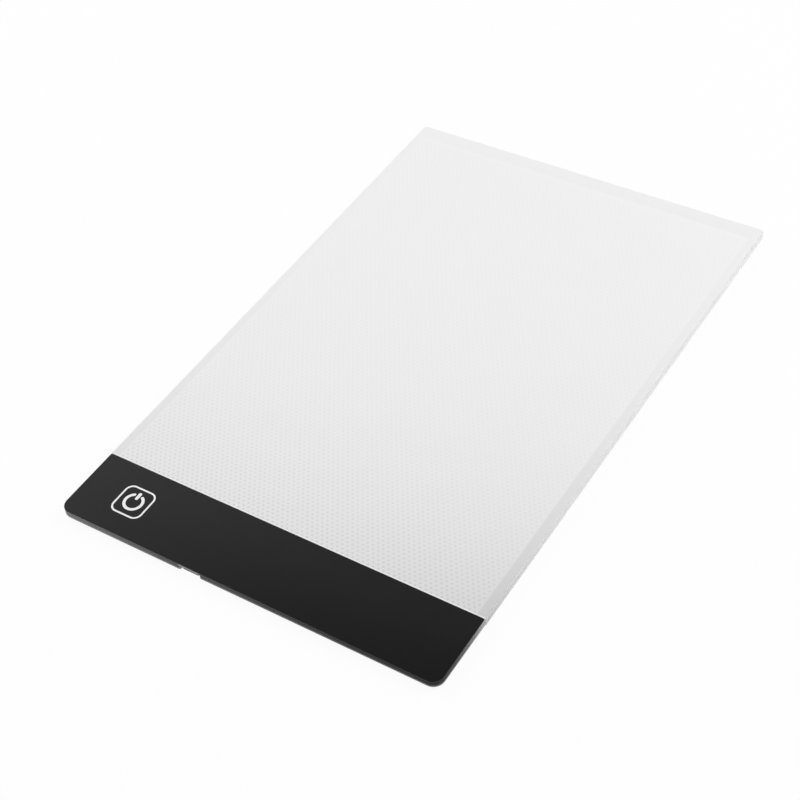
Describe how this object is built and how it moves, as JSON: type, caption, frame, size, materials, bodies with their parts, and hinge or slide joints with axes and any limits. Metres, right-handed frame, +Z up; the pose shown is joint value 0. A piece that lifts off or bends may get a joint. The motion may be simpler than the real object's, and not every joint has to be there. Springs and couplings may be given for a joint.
{
  "type": "led tracing pad",
  "caption": "Thin edge-lit tracing pad with a dotted light panel, black control strip, printed touch power key and micro-USB inlet notch.",
  "frame": {"origin": "centre of the footprint, on the surface that the feet stand on", "axes": "+X across the short side with the touch key at -X, +Y from the control strip to the far end, +Z up out of the drawing face"},
  "size_m": [0.15, 0.235, 0.0038],
  "materials": {
    "acrylic_panel": "pale clear acrylic with a fine satin face",
    "black_film": "satin black printed film",
    "key_print": "white screen print",
    "dot_print": "light guide dots seen through the panel",
    "clear_adhesive": "double-sided tape",
    "light_guide_acrylic": "clear acrylic",
    "white_film": "white reflector film",
    "white_tape": "white tape",
    "white_sheet": "fine matte white sheet",
    "black_plastic": "fine spark-textured black moulding",
    "green_board": "solder mask",
    "white_board": "white solder mask",
    "led_package": "white package with a yellow phosphor",
    "bright_steel": "plated steel",
    "inlet_plastic": "black moulding",
    "gold_plating": "gold plated",
    "copper_foil": "copper foil",
    "conductive_foam": "fine foam",
    "chip_moulding": "black epoxy moulding",
    "resistor_body": "ceramic",
    "capacitor_body": "ceramic",
    "red_insulation": "soft insulation",
    "black_insulation": "soft insulation",
    "grey_rubber": "matte anti-slip rubber"
  },
  "bodies": {
    "root": {"drawing_panel": "acrylic_panel", "control_overlay": "black_film", "panel_adhesive": "clear_adhesive", "light_guide": "light_guide_acrylic", "reflector_film": "white_film", "edge_tape": "white_tape", "back_cover": "white_sheet", "led_mask_tape": "white_tape", "strip_base": "black_plastic", "control_board": "green_board", "led_board": "white_board", "led_01": "led_package", "led_02": "led_package", "led_03": "led_package", "led_04": "led_package", "led_05": "led_package", "led_06": "led_package", "led_07": "led_package", "led_08": "led_package", "led_09": "led_package", "led_10": "led_package", "led_11": "led_package", "led_12": "led_package", "led_13": "led_package", "led_14": "led_package", "usb_shell": "bright_steel", "usb_insulator": "inlet_plastic", "usb_contact_1": "gold_plating", "usb_contact_2": "gold_plating", "usb_contact_3": "gold_plating", "usb_contact_4": "gold_plating", "usb_contact_5": "gold_plating", "touch_electrode": "copper_foil", "touch_foam": "conductive_foam", "touch_chip": "chip_moulding", "driver_transistor": "chip_moulding", "resistor_1": "resistor_body", "resistor_2": "resistor_body", "resistor_3": "resistor_body", "capacitor_1": "capacitor_body", "capacitor_2": "capacitor_body", "lead_red": "red_insulation", "lead_black": "black_insulation", "foot_front_left": "grey_rubber", "foot_front_right": "grey_rubber", "foot_far_left": "grey_rubber", "foot_far_right": "grey_rubber"}
  },
  "joints": []
}
